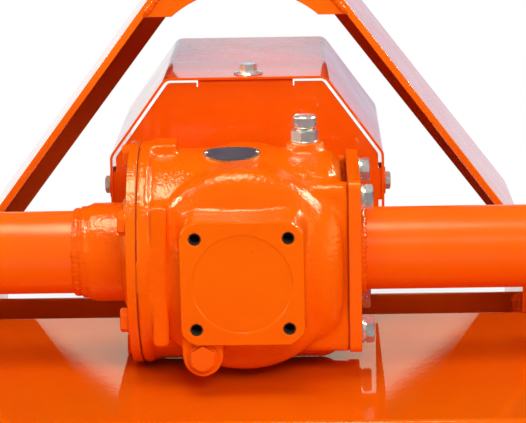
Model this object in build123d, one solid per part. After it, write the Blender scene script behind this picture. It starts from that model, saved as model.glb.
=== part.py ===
"""Centre section of a tractor-driven rotavator: cast bevel gearbox with cross tubes,
deck, shaft guard and three-point headstock.

Every piece is drawn about the point where the two shaft axes cross: +X to the machine's
right, +Y forward to the tractor, +Z up.  place() then moves the section so that the row's
origin is the centre of the gearbox's rear pad.  All lengths are in millimetres.
"""
from build123d import *
from math import cos, hypot, radians, sin
import os

# ---- gearbox casting -------------------------------------------------------------------
barrel_radius = 113          # cross barrel, along X
barrel_drop = 2.5            # the rough casting sits a little below the shafts
block_reach = 110            # joint face of the square right end
barrel_right = block_reach - 5   # rounded right end of the barrel
barrel_round = 25
drum_radius = 107.5          # crown-wheel drum, along Y
drum_drop = 1.5
drum_rear = 81               # where the drum turns into its domed rear
drum_shoulder = 20           # radius of that turn
drum_shoulder_turn = 65      # degrees
dome_rear = 113              # flat middle of the dome, behind the cross axis
dome_flat_radius = 55
dome_face_radius = 200       # arc of the dome's sloping face
flange_radius = 119.5        # round left flange and cover
flange_face = 110.5          # joint face of the left flange, left of the centre
flange_thick = 13
flange_edge = 2.5
block_left = 34
block_deep = 168             # the square end, along Y
block_tall = 181             # and along Z
block_drop = 2.5
block_corner = 10
relief_wide = 124            # groove between the barrel's round end and the plate
relief_floor = 74
relief_thick = 6
front_flange_radius = 97     # input side
front_flange_rear = 58
front_face = 113             # joint face of the input side, in front of the cross axis
pad_face = 150               # rear pad, behind the cross axis
pad_wide = 127
pad_tall = 130
pad_corner = 17
pad_edge = 1.5
pad_root = 4                 # flare where the pad's boss leaves the dome
pad_root_from = 118
pad_root_to = 102
pad_hole_pitch = 95
pad_hole_radius = 6
pad_hole_deep = 24
pad_ring_radius = 51         # shallow turned face in the pad
pad_ring_deep = 1.2
rib_left = 95                # upright rib on the left of the barrel
rib_wide = 17.5
rib_top = 74
rib_bottom = 75
rib_face = 116
rib_round = 5
lug_left = 98                # small square lug on the top left
lug_wide = 28
lug_deep = 44
lug_top = 120
lug_round = 3
plug_x = -42                 # drain plug, low on the left of the pad
plug_z = -79.5
plug_boss_radius = 21
plug_boss_face = 141
plug_boss_rear = 40
plug_seat_radius = 16.5      # turned seat in the boss
plug_seat_deep = 1.5
plug_across = 24
plug_tall = 9
breather_from_end = 39.5
breather_x = barrel_right - breather_from_end
breather_boss_radius = 21.5
breather_boss_top = 118
breather_collar = 6
breather_flare_radius = 31
breather_flare_base = 96
breather_stem_radius = 18
breather_hex_across = 26
breather_hex_tall = 13
breather_neck_radius = 9
breather_neck_tall = 3
breather_cap_radius = 13
breather_cap_tall = 13

# ---- covers, bolts and shafts ----------------------------------------------------------
cover_thick = 10
trumpet_radius = 53
trumpet_end = 162            # where the trumpet starts to narrow to the tube
trumpet_tip = 181            # where the tube starts
trumpet_blend = 10
cover_bolt_count = 6
cover_bolt_ring = 104
cover_bolt_across = 23
cover_bolt_tall = 9.5
right_plate_thick = 13
right_plate_rim_y = 6        # how far the plate stands past the square end
right_plate_rim_z = 1.5
right_plate_deep = block_deep + 2 * right_plate_rim_y
right_plate_tall = block_tall + 2 * right_plate_rim_z
right_plate_corner = 8
plate_bolt_y = 70
plate_bolt_z = 71.5
plate_bolt_across = 24
plate_bolt_tall = 8
plate_bolt_washer = 14
plate_bolt_washer_tall = 2.5
cap_radius = 62
cap_thick = 17
fit = 0.05                   # radial clearance of a turning shaft
end_gap = 1                  # behind a shaft's inner end
input_journal_radius = 20
input_inner_end = 42
input_shoulder = 124         # where the journal steps down to the spline
input_tip = 224
pto_outer_radius = 17.45     # 1 3/8 inch, six splines
pto_root_radius = 14.75
pto_tooth = 8.6
spline_count = 6
spline_chamfer = 2.5
lock_groove_from_tip = 38
lock_groove_wide = 8
cross_journal_radius = 17
cross_inner_end = 58
cross_spline_radius = 16.5
cross_root_radius = 13.8
cross_tooth = 8.2
cross_spline_length = 50
cross_journal_overhang = 5   # turned journal outside the side plate
cover_bore_radius = 24

# ---- tubes, side plates and deck -------------------------------------------------------
tube_radius = 44.45
tube_wall = 6.3
half_width = 500             # outer faces of the side plates
side_plate_thick = 8
side_boss_radius = 82
side_ring_radius = 65
side_ring_count = 6
side_hole_radius = 6.5
side_rear = 300
side_bottom = 215
side_low_pitch_y = 330
side_low_pitch_z = 50
side_low_y = -65
side_low_z = -175
bearing_length = 18
end_disc_thick = 6           # closes the right tube
deck_top = -120.5
deck_thick = 4
deck_front = 175
deck_rear = 229
deck_front_drop = 56
deck_rear_reach = 68
deck_rear_drop = 68
deck_bend = 7
side_front = deck_front

# ---- headstock -------------------------------------------------------------------------
head_thick = 8
head_half = 321.5            # outer faces of the upright lower part
head_knee_z = -32            # lower bend
head_bottom = -165
lug_half = 36                # outer faces of the top-link lugs
head_shoulder_z = 347        # upper bend
head_top = 425
head_bend = 40
head_rear = 165              # the plate's foot is notched over the deck's front edge
head_front = 442             # front edge at the height of the cross axis
head_front_lean = 0.167      # how far it leans back for each mm of height
head_lug_rear = 262
head_rear_break = 268        # where the rear edge starts to lean forward
head_toe = 60                # cut-off lower front corner
head_flange = 37             # inward flange along the front edge
head_flange_bottom = -75     # where its straight inner edge runs into the upright part
head_flange_top = 287
pin_z = -75                  # lower-link pins
pin_y = 405
mast_height = 460            # top-link hole above the lower-link pins
top_hole_y = 325
top_hole_radius = 9.75
pin_radius = 11
pin_boss_long = 20
pin_shoulder = head_half + pin_boss_long   # half the spread between the pins' shoulders
pin_boss_radius = 20
pin_long = 54.5
pin_tip = pin_shoulder + pin_long
pin_chamfer = 3
pin_hole_radius = 5.5
pin_hole_from_tip = 13
arch_bottom = 230
arch_top = 318
arch_radius = 127.5
arch_centre_z = 133
arch_thick = 8
bar_thick = 8
bar_rear = 250               # lower cross bar, in front of the deck
bar_top = -119
bar_bottom = -162
bracket_thick = 10
bracket_eye = 62
bracket_rear = 70
bracket_front = 300
bracket_top = -62

# ---- shaft guard -----------------------------------------------------------------------
guard_thick = 3
guard_rear = 126
guard_length = 294
guard_half = 154
guard_side_top = 79
guard_top_half = 90
guard_top = 167
guard_bottom = -40
guard_bend = 13
guard_gap = 3.5                # between the end panel's edge and the hood
panel_tab_half = 53
panel_tab_long = 34
panel_tab_bend = 6
panel_notch_wide = 1.6       # relief cuts beside the folded top tab
panel_notch_deep = 5
panel_side_tab_z = 42
panel_side_tab_tall = 36
panel_tab_root = 20             # how far the tabs reach into the panel
panel_hole_radius = 45


def slab_x(face, start, end):
    """A face drawn in (Y, Z), extruded from x = start to x = end."""
    return extrude(Plane.YZ.offset(start) * face, end - start)


def slab_y(face, start, end):
    """A face drawn in (X, Z), extruded from y = start to y = end."""
    return extrude(Plane.XZ.offset(-start) * face, start - end)


def rod_x(radius, start, end, y=0, z=0):
    return slab_x(Pos(y, z) * Circle(radius), start, end)


def rod_y(radius, start, end, x=0, z=0):
    return slab_y(Pos(x, z) * Circle(radius), start, end)


def rod_z(radius, start, end, x=0, y=0):
    return extrude(Pos(x, y, start) * Circle(radius), end - start)


def hex_head(across, tall):
    """A bolt head with turned corners, standing on z = 0."""
    prism = extrude(RegularPolygon(across / 2, 6, major_radius=False), tall)
    crown = Cone(across * 0.75, across * 0.5, tall, align=(Align.CENTER, Align.CENTER, Align.MIN))
    return prism & crown


def sheet(points, thick, bend):
    """Section of a folded sheet: the polyline of one side, thickened to its left."""
    side = FilletPolyline(*points, radius=bend)
    return make_face(side.offset_2d(thick, side=Side.LEFT, closed=True).edges())


def splined(outer, root, tooth, length):
    """A splined stub that stands on z = 0, with a chamfered tip."""
    teeth = [Rot(0, 0, 360 * k / spline_count) * Pos(outer / 2, 0) * Rectangle(outer, tooth)
             for k in range(spline_count)]
    section = Circle(root) + (Sketch() + teeth & Circle(outer))
    stub = extrude(section, length)
    tip = Cone(outer - spline_chamfer + length, outer - spline_chamfer, length,
               align=(Align.CENTER, Align.CENTER, Align.MIN))
    return stub & tip


def brace_inner_x(z):
    """Inner face of a headstock plate's sloping part."""
    slope = (head_half - lug_half) / (head_shoulder_z - head_knee_z)
    return head_half - slope * (z - head_knee_z) - head_thick * hypot(1, slope)


def lip_inner_x(z):
    """Straight inner edge of the inward flange."""
    slope = (head_half - lug_half) / (head_shoulder_z - head_knee_z)
    return head_half - slope * (z - head_knee_z) - head_flange * hypot(1, slope)


def head_front_at(z):
    return head_front - head_front_lean * z


# ---- gearbox ---------------------------------------------------------------------------
def drum_and_dome():
    """The crown-wheel drum, turned about the input axis, domed towards the pad."""
    wall = Polyline((0, front_flange_rear), (drum_radius, front_flange_rear), (drum_radius, -drum_rear))
    turn = radians(drum_shoulder_turn)
    shoulder_end = (drum_radius - drum_shoulder * (1 - cos(turn)), -drum_rear - drum_shoulder * sin(turn))
    shoulder = RadiusArc(wall @ 1, shoulder_end, drum_shoulder)
    dome = RadiusArc(shoulder @ 1, (dome_flat_radius, -dome_rear), dome_face_radius)
    close = Polyline(dome @ 1, (0, -dome_rear), (0, front_flange_rear))
    outline = wall.edges() + shoulder.edges() + dome.edges() + close.edges()
    return Pos(0, 0, -drum_drop) * revolve(make_face(outline), Axis.Y)


def pad_boss():
    face = RectangleRounded(pad_wide, pad_tall, pad_corner)
    foot = RectangleRounded(pad_wide + 2 * pad_root, pad_tall + 2 * pad_root, pad_corner + pad_root)
    boss = slab_y(face, -pad_face, -pad_root_to)
    boss = chamfer(boss.faces().sort_by(Axis.Y)[0].edges(), pad_edge)
    flare = loft([Plane.XZ.offset(pad_root_from) * face, Plane.XZ.offset(pad_root_to) * foot])
    return boss + flare


def breather_boss():
    flare = Cone(breather_flare_radius, breather_stem_radius, breather_boss_top - breather_flare_base,
                 align=(Align.CENTER, Align.CENTER, Align.MIN))
    collar = rod_z(breather_boss_radius, breather_boss_top - breather_collar, breather_boss_top)
    collar = fillet(collar.edges(), breather_collar / 3)
    return Pos(breather_x, 0, 0) * (Pos(0, 0, breather_flare_base) * flare + collar)


def between_joints():
    """Room between the two machined joint faces, in which the casting is kept."""
    reach = pad_face + plug_boss_face
    return slab_x(Rectangle(2 * reach, 2 * reach), -flange_face, block_reach)


def gearbox_housing():
    barrel = rod_x(barrel_radius, -flange_face + flange_thick - 1, barrel_right, 0, -barrel_drop)
    barrel = fillet(barrel.edges().sort_by(Axis.X)[-1], barrel_round)
    flange = rod_x(flange_radius, -flange_face, -flange_face + flange_thick)
    flange = fillet(flange.edges().sort_by(Axis.X)[-1], flange_edge)
    block = Pos(0, -block_drop) * RectangleRounded(block_deep, block_tall, block_corner)
    block = slab_x(block, block_left, block_reach)
    relief = slab_x(Pos(0, relief_floor + block_tall / 2) * Rectangle(relief_wide, block_tall),
                    block_reach - relief_thick, block_reach)
    nose = rod_y(front_flange_radius, front_flange_rear, front_face)
    nose = fillet(nose.edges().sort_by(Axis.Y)[-1], flange_edge)
    rib = slab_y(Pos(-rib_left + rib_wide / 2, (rib_top - rib_bottom) / 2)
                 * RectangleRounded(rib_wide, rib_top + rib_bottom, rib_round), -rib_face, 0)
    rib = fillet(rib.faces().sort_by(Axis.Y)[0].edges(), rib_round / 2)
    lug = extrude(Pos(-lug_left + lug_wide / 2, 0) * RectangleRounded(lug_wide, lug_deep, 2 * lug_round),
                  lug_top)
    lug = fillet(lug.faces().sort_by(Axis.Z)[-1].edges(), lug_round)
    plug_foot = Pos(0, plug_boss_radius / 2) * Rectangle(2 * plug_boss_radius, plug_boss_radius)
    plug_boss = slab_y(Pos(plug_x, plug_z) * (Circle(plug_boss_radius) + plug_foot),
                       -plug_boss_face, -plug_boss_rear)
    casting = barrel + flange + block - relief + drum_and_dome() + nose + pad_boss()
    casting = casting + rib + lug + plug_boss + breather_boss()
    casting = casting & between_joints()
    holes = [rod_y(pad_hole_radius, -pad_face, -pad_face + pad_hole_deep, x, z)
             for x in (-pad_hole_pitch / 2, pad_hole_pitch / 2)
             for z in (-pad_hole_pitch / 2, pad_hole_pitch / 2)]
    ring = rod_y(pad_ring_radius, -pad_face, -pad_face + pad_ring_deep)
    seat = rod_y(plug_seat_radius, -plug_boss_face, -plug_boss_face + plug_seat_deep, plug_x, plug_z)
    input_bore = rod_y(input_journal_radius + fit, input_inner_end - end_gap, front_face)
    cross_bore = rod_x(cross_journal_radius + fit, -flange_face, -cross_inner_end + end_gap)
    return casting - holes - ring - seat - input_bore - cross_bore


def left_cover():
    disc = rod_x(flange_radius, -flange_face - cover_thick, -flange_face)
    base = -flange_face - cover_thick
    outline = Polyline((-flange_face, cover_bore_radius), (-trumpet_tip, cover_bore_radius),
                       (-trumpet_tip, tube_radius), (-trumpet_end, trumpet_radius),
                       (base - trumpet_blend, trumpet_radius))
    blend = RadiusArc(outline @ 1, (base, trumpet_radius + trumpet_blend), trumpet_blend)
    close = Polyline(blend @ 1, (-flange_face, trumpet_radius + trumpet_blend),
                     (-flange_face, cover_bore_radius))
    trumpet = revolve(make_face(outline.edges() + blend.edges() + close.edges()), Axis.X)
    bore = rod_x(cover_bore_radius, base - 1, -flange_face)
    return disc - bore + trumpet


def cover_bolts():
    base = -flange_face - cover_thick
    step = 360 / cover_bolt_count
    head = hex_head(cover_bolt_across, cover_bolt_tall)
    return Compound([Rot(step * k, 0, 0) * Pos(base, 0, cover_bolt_ring) * Rot(0, -90, 0) * head
                     for k in range(cover_bolt_count)])


def right_plate():
    outline = RectangleRounded(right_plate_deep, right_plate_tall, right_plate_corner)
    return slab_x(outline, block_reach, block_reach + right_plate_thick)


def plate_bolts():
    face = block_reach + right_plate_thick
    head = hex_head(plate_bolt_across, plate_bolt_tall)
    head = Pos(0, 0, plate_bolt_washer_tall) * head + rod_z(plate_bolt_washer, 0, plate_bolt_washer_tall)
    return Compound([Pos(face, y, z) * Rot(0, 90, 0) * head
                     for y in (-plate_bolt_y, plate_bolt_y) for z in (-plate_bolt_z, plate_bolt_z)])


def bearing_cap():
    cap = rod_y(cap_radius, front_face, front_face + cap_thick)
    return cap - rod_y(input_journal_radius + fit, front_face, front_face + cap_thick)


def input_shaft():
    journal = rod_y(input_journal_radius, input_inner_end, input_shoulder)
    stub = Rot(-90, 0, 0) * splined(pto_outer_radius, pto_root_radius, pto_tooth,
                                    input_tip - input_shoulder)
    groove = rod_y(pto_outer_radius + 1, 0, lock_groove_wide) - rod_y(pto_root_radius, 0, lock_groove_wide)
    groove = Pos(0, input_tip - lock_groove_from_tip, 0) * groove
    return journal + (Pos(0, input_shoulder, 0) * stub - groove)


def cross_shaft():
    journal_tip = half_width + cross_journal_overhang
    journal = rod_x(cross_journal_radius, -journal_tip, -cross_inner_end)
    stub = Rot(0, -90, 0) * splined(cross_spline_radius, cross_root_radius, cross_tooth,
                                    cross_spline_length)
    return journal + Pos(-journal_tip, 0, 0) * stub


def drain_plug():
    seat = -plug_boss_face + plug_seat_deep
    return Pos(plug_x, seat, plug_z) * Rot(90, 0, 0) * hex_head(plug_across, plug_tall)


def breather():
    base = extrude(RegularPolygon(breather_hex_across / 2, 6, major_radius=False), breather_hex_tall)
    cap_base = breather_hex_tall + breather_neck_tall
    cap = rod_z(breather_cap_radius, cap_base, cap_base + breather_cap_tall)
    cap = fillet(cap.edges().sort_by(Axis.Z)[-1], breather_cap_radius / 5)
    neck = rod_z(breather_neck_radius, 0, cap_base)
    return Pos(breather_x, 0, breather_boss_top) * (base + neck + cap)


# ---- tubes, side plates and deck -------------------------------------------------------
def cross_tube(start, end):
    return rod_x(tube_radius, start, end) - rod_x(tube_radius - tube_wall, start, end)


def outer_bearing():
    start = -half_width
    ring = rod_x(tube_radius - tube_wall, start, start + bearing_length)
    return ring - rod_x(cross_journal_radius + fit, start, start + bearing_length)


def end_disc():
    """Closes the right tube, flush with the side plate."""
    return rod_x(tube_radius - tube_wall, half_width - end_disc_thick, half_width)


def side_plate(side):
    foot = Pos((side_front - side_rear) / 2, (deck_top - side_bottom) / 2)
    foot = foot * Rectangle(side_front + side_rear, side_bottom + deck_top)
    outline = make_hull(Circle(side_boss_radius).edges() + foot.edges())
    ring = PolarLocations(side_ring_radius, side_ring_count) * Circle(side_hole_radius)
    low = Pos(side_low_y, side_low_z) * GridLocations(side_low_pitch_y, side_low_pitch_z, 2, 2)
    low = low * Circle(side_hole_radius)
    plate = outline - Circle(tube_radius) - ring - low
    inner = half_width - side_plate_thick
    return slab_x(plate, inner, half_width) if side > 0 else slab_x(plate, -half_width, -inner)


def deck_sheet():
    outline = [(deck_front, deck_top - deck_front_drop), (deck_front, deck_top),
               (-deck_rear, deck_top), (-deck_rear - deck_rear_reach, deck_top - deck_rear_drop)]
    inner = half_width - side_plate_thick
    return slab_x(sheet(outline, deck_thick, deck_bend), -inner, inner)


# ---- headstock -------------------------------------------------------------------------
def along_front(start_z, end_z):
    """A slab one plate thick that follows the headstock's leaning front edge."""
    front = [(head_front_at(z), z) for z in (start_z, end_z)]
    back = [(y - head_thick, z) for y, z in reversed(front)]
    return slab_x(make_face(Polyline(*front, *back, close=True).edges()), 0, head_half)


def headstock_path():
    return [(head_half, head_bottom), (head_half, head_knee_z),
            (lug_half, head_shoulder_z), (lug_half, head_top)]


def headstock_right():
    section = sheet(headstock_path(), head_thick, head_bend)
    plate = slab_y(section, head_rear, head_front_at(head_bottom))
    front_top = head_front_at(head_top)
    rear_edge = [(deck_front, head_bottom), (deck_front, deck_top), (head_rear, deck_top),
                 (head_rear, head_rear_break), (head_lug_rear, head_top)]
    front_edge = [(front_top, head_top), (head_front_at(head_bottom + head_toe), head_bottom + head_toe),
                  (head_front_at(head_bottom) - head_toe, head_bottom)]
    side = make_face(Polyline(*rear_edge, *front_edge, close=True).edges())
    plate = plate & slab_x(side, 0, head_half)
    eye = rod_x(top_hole_radius, 0, lug_half, top_hole_y, pin_z + mast_height)
    return plate - eye


def headstock_lip_right():
    """The inward stiffener that follows the plate's bend along its front edge."""
    path = headstock_path()
    bend = FilletPolyline(*path, radius=head_bend)
    close = Polyline(bend @ 1, (0, head_top), (0, head_bottom), bend @ 0)
    section = make_face(bend.edges() + close.edges()) - sheet(path, head_thick, head_bend)
    inner = [(lip_inner_x(z), z) for z in (head_flange_bottom, head_flange_top)]
    outer = [(head_half, head_flange_top), (head_half, head_flange_bottom)]
    section = section & make_face(Polyline(*inner, *outer, close=True).edges())
    band = slab_y(section, head_rear, head_front_at(head_bottom))
    return band & along_front(head_bottom, head_top)


def arch_plate():
    outline = [(brace_inner_x(z), z) for z in (arch_bottom, arch_top)]
    outline = outline + [(-x, z) for x, z in reversed(outline)]
    plate = make_face(Polyline(*outline, close=True).edges()) - Pos(0, arch_centre_z) * Circle(arch_radius)
    return slab_y(plate, head_rear, head_rear + arch_thick)


def front_bar():
    inner = head_half - head_thick
    bar = Pos(0, (bar_top + bar_bottom) / 2) * Rectangle(2 * inner, bar_top - bar_bottom)
    return slab_y(bar, bar_rear, bar_rear + bar_thick)


def tube_bracket():
    foot = Pos((bracket_front - bracket_rear) / 2, (deck_top + bracket_top) / 2)
    foot = foot * Rectangle(bracket_front + bracket_rear, bracket_top - deck_top)
    outline = make_hull(Circle(bracket_eye).edges() + foot.edges()) - Circle(tube_radius)
    return slab_x(outline, head_half, head_half + bracket_thick)


def link_pin():
    boss = rod_x(pin_boss_radius, head_half, pin_shoulder, pin_y, pin_z)
    pin = rod_x(pin_radius, pin_shoulder, pin_tip, pin_y, pin_z)
    pin = chamfer(pin.edges().sort_by(Axis.X)[-1], pin_chamfer)
    hole = rod_y(pin_hole_radius, pin_y - pin_radius, pin_y + pin_radius, pin_tip - pin_hole_from_tip, pin_z)
    return boss + pin - hole


# ---- shaft guard -----------------------------------------------------------------------
def guard_outline(bottom):
    right = [(guard_half, bottom), (guard_half, guard_side_top), (guard_top_half, guard_top)]
    return right + [(-x, z) for x, z in reversed(right)]


def guard_face(bottom):
    face = make_face(Polyline(*guard_outline(bottom), close=True).edges())
    corners = face.vertices().filter_by(lambda v: v.Y > bottom + 1)
    return fillet(corners, guard_bend)


def guard_hood():
    shell = guard_face(guard_bottom - guard_thick)
    core = offset(shell, -guard_thick, kind=Kind.INTERSECTION)
    base = Pos(0, guard_bottom - guard_thick / 2) * Rectangle(2 * guard_half, guard_thick)
    return slab_y(shell - core - base, guard_rear, guard_rear + guard_length)


def guard_end_panel():
    rear = front_face + cap_thick
    inside = guard_half - guard_thick
    shell = guard_face(guard_bottom - guard_thick)
    panel = offset(shell, -guard_thick - guard_gap, kind=Kind.INTERSECTION)
    under_top = guard_top - guard_thick
    half_root = panel_tab_root / 2
    top_room = Pos(0, under_top - half_root) * Rectangle(2 * panel_tab_half, panel_tab_root)
    notch_deep = guard_gap + panel_notch_deep
    notches = [Pos(x, under_top - notch_deep / 2) * Rectangle(panel_notch_wide, notch_deep)
               for x in (-panel_tab_half - panel_notch_wide / 2, panel_tab_half + panel_notch_wide / 2)]
    side_tabs = [Pos(x, panel_side_tab_z) * Rectangle(panel_tab_root, panel_side_tab_tall)
                 for x in (half_root - inside, inside - half_root)]
    panel = panel - top_room - notches + side_tabs - Circle(panel_hole_radius)
    panel = slab_y(panel, rear, rear + guard_thick)
    fold = [(rear + panel_tab_long, under_top), (rear, under_top), (rear, under_top - panel_tab_root)]
    fold = slab_x(sheet(fold, guard_thick, panel_tab_bend), -panel_tab_half, panel_tab_half)
    side_folds = [slab_y(Pos(x, panel_side_tab_z) * Rectangle(guard_thick, panel_side_tab_tall),
                         rear, rear + panel_tab_long)
                  for x in (guard_thick / 2 - inside, inside - guard_thick / 2)]
    return panel + fold + side_folds


def place(solid):
    """Puts the row's origin at the centre of the rear pad's face."""
    return Pos(0, pad_face, 0) * solid


def all_parts():
    head_right = headstock_right()
    lip_right = headstock_lip_right()
    bracket_right = tube_bracket()
    pin_right = link_pin()
    return {
        "gearbox_housing": gearbox_housing(),
        "left_cover": left_cover(),
        "cover_bolts": cover_bolts(),
        "right_plate": right_plate(),
        "plate_bolts": plate_bolts(),
        "bearing_cap": bearing_cap(),
        "input_shaft": input_shaft(),
        "cross_shaft": cross_shaft(),
        "drain_plug": drain_plug(),
        "breather": breather(),
        "left_tube": cross_tube(-half_width, -trumpet_tip),
        "right_tube": cross_tube(block_reach + right_plate_thick, half_width),
        "outer_bearing": outer_bearing(),
        "end_disc": end_disc(),
        "side_plate_left": side_plate(-1),
        "side_plate_right": side_plate(1),
        "deck_sheet": deck_sheet(),
        "front_bar": front_bar(),
        "headstock_left": mirror(head_right, Plane.YZ),
        "headstock_right": head_right,
        "headstock_lip_left": mirror(lip_right, Plane.YZ),
        "headstock_lip_right": lip_right,
        "arch_plate": arch_plate(),
        "tube_bracket_left": mirror(bracket_right, Plane.YZ),
        "tube_bracket_right": bracket_right,
        "link_pin_left": mirror(pin_right, Plane.YZ),
        "link_pin_right": pin_right,
        "guard_hood": guard_hood(),
        "guard_end_panel": guard_end_panel(),
    }


os.makedirs("parts", exist_ok=True)
for node, solid in all_parts().items():
    export_step(place(solid), f"parts/{node}.step")
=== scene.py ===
"""Looks for the centre section of a rotavator: glossy orange castings, sheet and tubes, with
zinc fasteners, weld beads, gaskets and a blank oval plate.  Lengths are in metres, in the part's
own frame: +X to the machine's right, +Y forward to the tractor, +Z up."""

from math import ceil, cos, pi, radians, sin, tan

import bmesh
import bpy
from bpy.props import FloatProperty, FloatVectorProperty, PointerProperty
from mathutils import Matrix, Vector, noise


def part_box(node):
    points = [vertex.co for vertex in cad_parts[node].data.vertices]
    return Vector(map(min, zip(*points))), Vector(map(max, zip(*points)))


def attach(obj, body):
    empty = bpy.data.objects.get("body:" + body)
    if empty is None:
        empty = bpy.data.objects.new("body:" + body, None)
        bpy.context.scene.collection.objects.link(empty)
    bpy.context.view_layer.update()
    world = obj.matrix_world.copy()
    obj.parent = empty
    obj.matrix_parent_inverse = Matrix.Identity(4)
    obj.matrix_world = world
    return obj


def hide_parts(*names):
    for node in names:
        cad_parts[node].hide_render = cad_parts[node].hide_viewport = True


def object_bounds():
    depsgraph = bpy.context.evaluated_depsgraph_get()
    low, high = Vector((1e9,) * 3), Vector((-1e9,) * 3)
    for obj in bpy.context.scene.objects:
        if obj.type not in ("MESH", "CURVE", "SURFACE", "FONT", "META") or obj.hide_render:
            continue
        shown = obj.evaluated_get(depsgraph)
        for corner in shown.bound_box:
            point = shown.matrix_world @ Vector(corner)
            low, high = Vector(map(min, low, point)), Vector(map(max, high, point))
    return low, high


bl_info = {
    "name": "Rotavator gearbox and headstock",
    "version": (1, 0, 0),
    "blender": (4, 5, 0),
    "location": "3D View > Sidebar > Rotavator",
    "description": "Dresses the gearbox and headstock section of a rotavator",
    "category": "Add Mesh",
}

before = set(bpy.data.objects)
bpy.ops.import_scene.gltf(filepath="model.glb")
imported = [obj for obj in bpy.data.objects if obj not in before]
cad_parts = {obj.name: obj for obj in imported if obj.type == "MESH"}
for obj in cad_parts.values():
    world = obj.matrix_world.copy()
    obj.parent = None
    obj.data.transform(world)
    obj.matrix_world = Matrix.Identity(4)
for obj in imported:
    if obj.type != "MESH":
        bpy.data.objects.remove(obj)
cad_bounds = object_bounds()

MM = 0.001
SIDES = ((-1, "left"), (1, "right"))
CROSSWISE = (1, 0, 0)         # the way the tubes and the cross shaft run
TUBE_Y = sum(corner.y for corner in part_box("left_tube")) / 2
CROSS = Vector((0, TUBE_Y, 0))            # a point on their axis
PAD_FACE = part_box("gearbox_housing")[0].y
PAD_STEP = 1.5 * MM           # depth of the turned face in the rear pad
PAD_HOLE = 6.0 * MM           # radius of the pad's holes
PAD_SKIN = 1.6 * MM           # cast skin no deeper than this under the face is planed flat
BOLTS_IN_COVER = 6
BOLT_RING = 0.104             # radius of their circle
BOLT_BORE = 6 * MM            # hole in the washers under the right cover's bolts
SPRING = 2.2 * MM             # thickness of the spring washers there
GUARD_ROW = 24 * MM           # the guard's bolts stand this far in front of its rear edge
GUARD_BOLT_Z = 42 * MM        # height of those in its sides
GUARD_TOP_X = 3 * MM          # and how far to the right the one in its top stands
PANEL_RING = 54 * MM          # radius of the circle of bolts in the guard's end panel
PANEL_THICK = 3 * MM
DECK_REAR = 0.075             # the side plates' beads start this far from the deck's rear edge
DECK_FRONT = 0.012            # the deck's beads end this far from its front edge
BRACKET_BEAD = 0.060          # how far up the tube brackets the upright beads go
LIP_FOOT = 0.05               # the lips' beads are spread from this far above their lower ends
PROUD = 0.3 * MM              # how far the middle of a bead on the deck lies above it
PROUD_PLATE = 0.6 * MM        # and that of a ring on a plate in front of the plate's face


# ---- what a user would change -----------------------------------------------------------
def length(name, text, default):
    return FloatProperty(name=name, description=text, default=default, unit="LENGTH", precision=5)


def colour(name, text, default):
    return FloatVectorProperty(name=name, description=text, default=default, subtype="COLOR",
                               size=3, min=0, max=1)


class RotavatorSizes(bpy.types.PropertyGroup):
    edge: length("Plate edge", "Radius left on the edges of cut plates", 0.0011)
    sheet_edge: length("Sheet edge", "Radius left on the edges of thin sheet", 0.0006)
    casting_cell: length("Casting cell", "Spacing of the casting's skin", 0.0019)
    arch_top_half: length("Arch top", "Half width of the arch plate along its top", 0.04783)
    lip_thick: length("Lip thickness", "Thickness of the headstock's inward lips", 0.008)
    lip_lean: FloatProperty(name="Lip lean", description="How far the headstock's front leans "
                            "back for each metre of height", default=0.167)
    pad_ring: length("Pad ring", "Radius of the shallow turned face in the rear pad", 0.051)
    casting_lumps: length("Casting lumps", "Height of the casting's unevenness", 0.00026)
    bead: length("Weld bead", "Half width of an ordinary weld bead", 0.0042)
    bead_step: length("Weld step", "Spacing of the rings that make a weld bead", 0.0016)
    bead_pitch: length("Weld ripple", "Length of one ripple along a weld bead", 0.0052)
    plate_wide: length("Oval plate width", "Width of the blank oval plate", 0.061)
    plate_deep: length("Oval plate depth", "Depth of the blank oval plate", 0.044)
    washer: length("Washer thickness", "Thickness of the bolts' washers", 0.0024)
    cover_bolt: length("Cover bolt", "Width across flats of the left cover's bolts", 0.023)
    plate_bolt: length("Plate bolt", "Width across flats of the right cover's bolts", 0.024)
    plate_bolt_washer: length("Plate bolt washer", "Radius of those bolts' washers", 0.014)
    drain_plug: length("Drain plug", "Width across flats of the drain plug", 0.024)
    breather: length("Breather", "Width across flats of the breather's foot", 0.026)
    guard_bolt: length("Guard bolt", "Width across flats of the guard's bolts", 0.0172)
    pad_hole_pitch: length("Pad hole pitch", "Distance between the rear pad's holes", 0.095)
    barrel: length("Barrel radius", "Radius of the casting's cross barrel", 0.113)
    plate_lean: FloatProperty(name="Oval plate lean", description="Degrees that the oval plate "
                              "lies behind the top of the barrel", default=9.0)


class RotavatorColours(bpy.types.PropertyGroup):
    paint: colour("Paint", "Orange of the sheet and tubes", (0.94, 0.118, 0.001))
    paint_deep: colour("Deep paint", "Orange where the paint lies thick", (0.88, 0.090, 0.001))
    cast: colour("Cast paint", "Orange of the castings", (0.96, 0.135, 0.001))
    zinc: colour("Zinc", "Bright zinc plate", (0.91, 0.96, 1.0))
    zinc_dull: colour("Dull zinc", "Zinc plate in its duller patches", (0.66, 0.73, 0.82))
    steel: colour("Steel", "Machined steel", (0.50, 0.50, 0.51))
    field: colour("Oval plate", "Field of the blank oval plate", (0.045, 0.052, 0.078))
    rim: colour("Oval rim", "Rim of the blank oval plate", (0.62, 0.63, 0.66))
    floor: colour("Floor", "Floor under the machine", (0.80, 0.80, 0.80))


def sizes():
    return bpy.context.scene.rotavator_sizes


def colours():
    return bpy.context.scene.rotavator_colours


# ---- node trees -------------------------------------------------------------------------
def feed(tree, socket, value):
    """Sets a socket to a plain value, or links it to another node's socket."""
    if isinstance(value, bpy.types.NodeSocket):
        tree.links.new(value, socket)
    else:
        socket.default_value = value


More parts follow.
